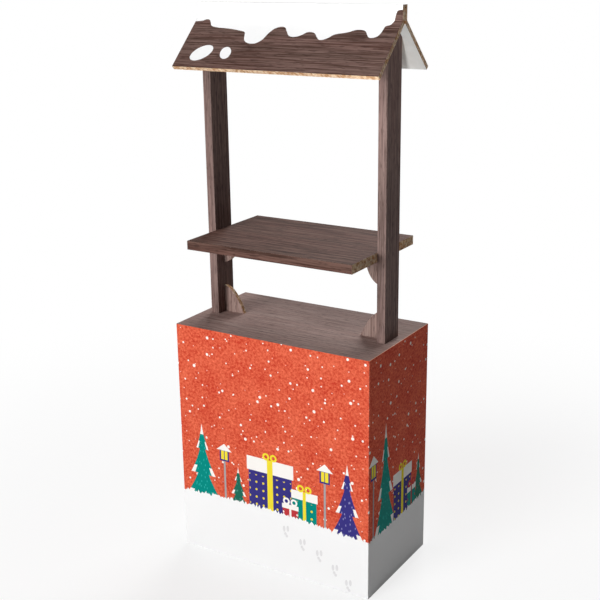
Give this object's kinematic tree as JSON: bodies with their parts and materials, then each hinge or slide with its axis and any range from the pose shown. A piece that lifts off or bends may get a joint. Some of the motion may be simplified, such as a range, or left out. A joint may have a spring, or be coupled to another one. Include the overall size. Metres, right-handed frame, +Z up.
{
  "type": "cardboard display stand",
  "caption": "Floor-standing market stall of rigid fluted board: a box counter, side posts, a shelf and a gable roof with a ridge fin.",
  "frame": {"origin": "on the floor under the middle of the counter", "axes": "+X to the right along the counter's front, +Y to the back, +Z up"},
  "size_m": [0.8, 0.45, 2.028],
  "materials": {
    "printed_counter_board": "matte print",
    "wood_print_post_board": "matte print",
    "dark_wood_print_board": "matte print",
    "plain_board": "uncoated"
  },
  "bodies": {
    "root": {"counter_box": "printed_counter_board", "long_partition": "plain_board", "left_cross_partition": "plain_board", "right_cross_partition": "plain_board", "left_post": "wood_print_post_board", "right_post": "wood_print_post_board", "left_lower_bracket": "wood_print_post_board", "right_lower_bracket": "wood_print_post_board", "left_upper_bracket": "wood_print_post_board", "right_upper_bracket": "wood_print_post_board", "shelf": "dark_wood_print_board", "roof": "dark_wood_print_board"}
  },
  "joints": []
}
